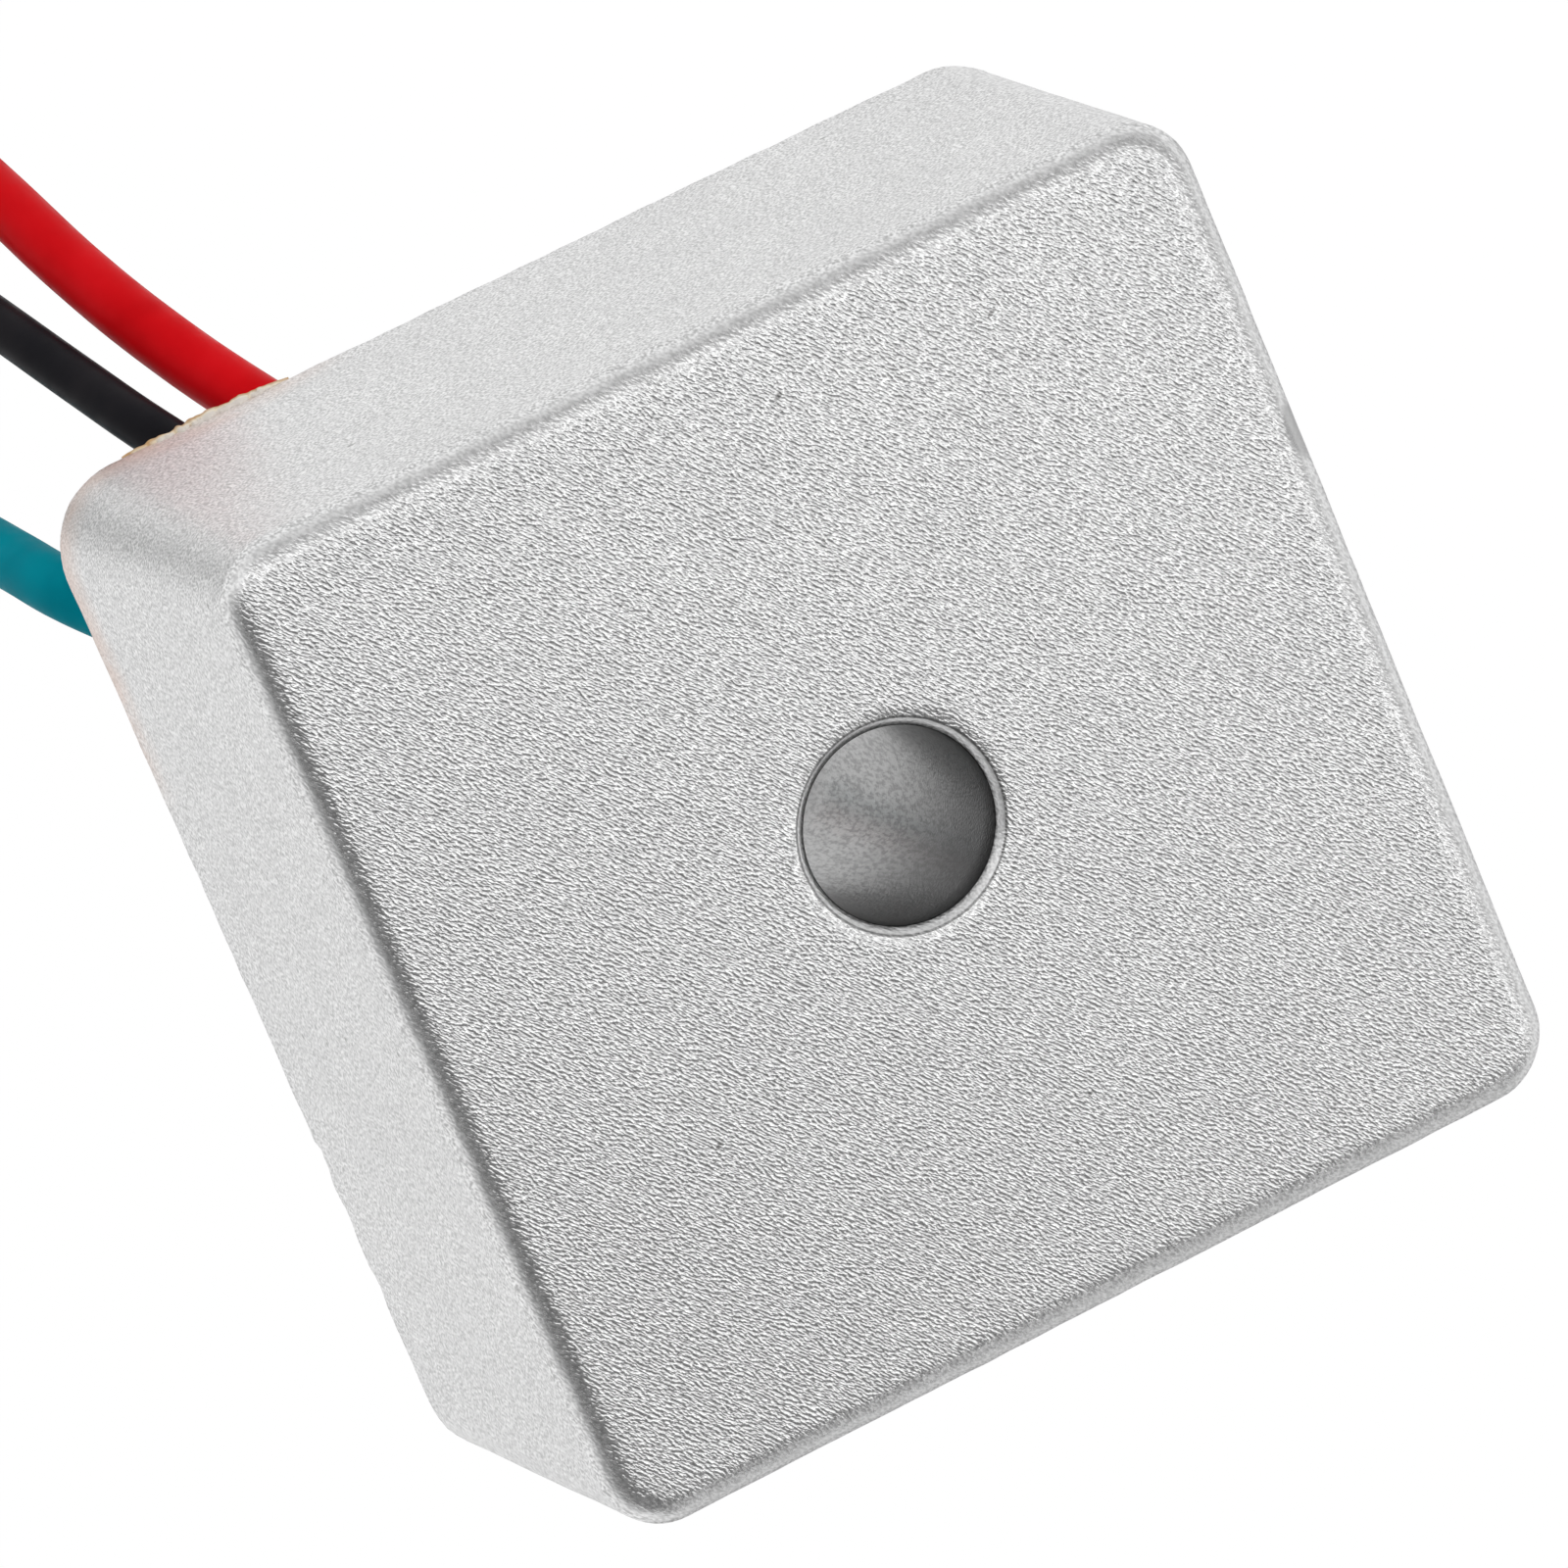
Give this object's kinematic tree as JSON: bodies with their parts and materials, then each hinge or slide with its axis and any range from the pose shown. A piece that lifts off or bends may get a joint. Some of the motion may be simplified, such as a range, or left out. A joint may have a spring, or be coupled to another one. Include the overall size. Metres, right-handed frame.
{
  "type": "voltage regulator rectifier",
  "caption": "Square potted voltage regulator rectifier: drafted cast aluminium cup with a central mounting bore, filled with resin, with insulated leads ending in ring terminals.",
  "frame": {"origin": "centre of the mounting bore in the flat mounting face", "axes": "+Z along the bore, out of the mounting face; the potted side looks along -Z and the leads hang that way, leaving by the corner towards +X and -Y"},
  "size_m": [0.0595, 0.069, 0.1806],
  "materials": {
    "cast_aluminium": "die cast, shot blasted, satin",
    "potting": "cured epoxy, satin",
    "board": "lacquered laminate",
    "solder": "tin solder",
    "thermal_pad": "silicone pad, matte",
    "moulding": "moulded epoxy, matte",
    "tinned_metal": "tin plated",
    "diode": "moulded epoxy, satin",
    "zener": "coated glass, gloss",
    "resistor": "lacquer, gloss",
    "capacitor": "shrink film, gloss",
    "copper": "bare stranded copper",
    "red_insulation": "PVC insulation, satin",
    "black_insulation": "PVC insulation, satin",
    "teal_insulation": "PVC insulation, satin",
    "sleeve": "shrink sleeve, satin"
  },
  "bodies": {
    "root": {"housing": "cast_aluminium", "potting_compound": "potting", "circuit_board": "board", "solder_joints": "solder", "thermal_pad_a": "thermal_pad", "thermal_pad_b": "thermal_pad", "thyristor_a_body": "moulding", "thyristor_b_body": "moulding", "thyristor_a_frame": "tinned_metal", "thyristor_b_frame": "tinned_metal", "rectifier_diode_a": "diode", "rectifier_diode_b": "diode", "zener_diode": "zener", "control_transistor": "moulding", "gate_resistor_a": "resistor", "gate_resistor_b": "resistor", "divider_resistor_upper": "resistor", "divider_resistor_lower": "resistor", "filter_capacitor": "capacitor", "red_core": "copper", "black_core": "copper", "teal_core": "copper", "red_lead": "red_insulation", "black_lead": "black_insulation", "teal_lead": "teal_insulation", "red_terminal": "tinned_metal", "black_terminal": "tinned_metal", "teal_terminal": "tinned_metal", "red_sleeve": "sleeve", "black_sleeve": "sleeve", "teal_sleeve": "sleeve"}
  },
  "joints": []
}
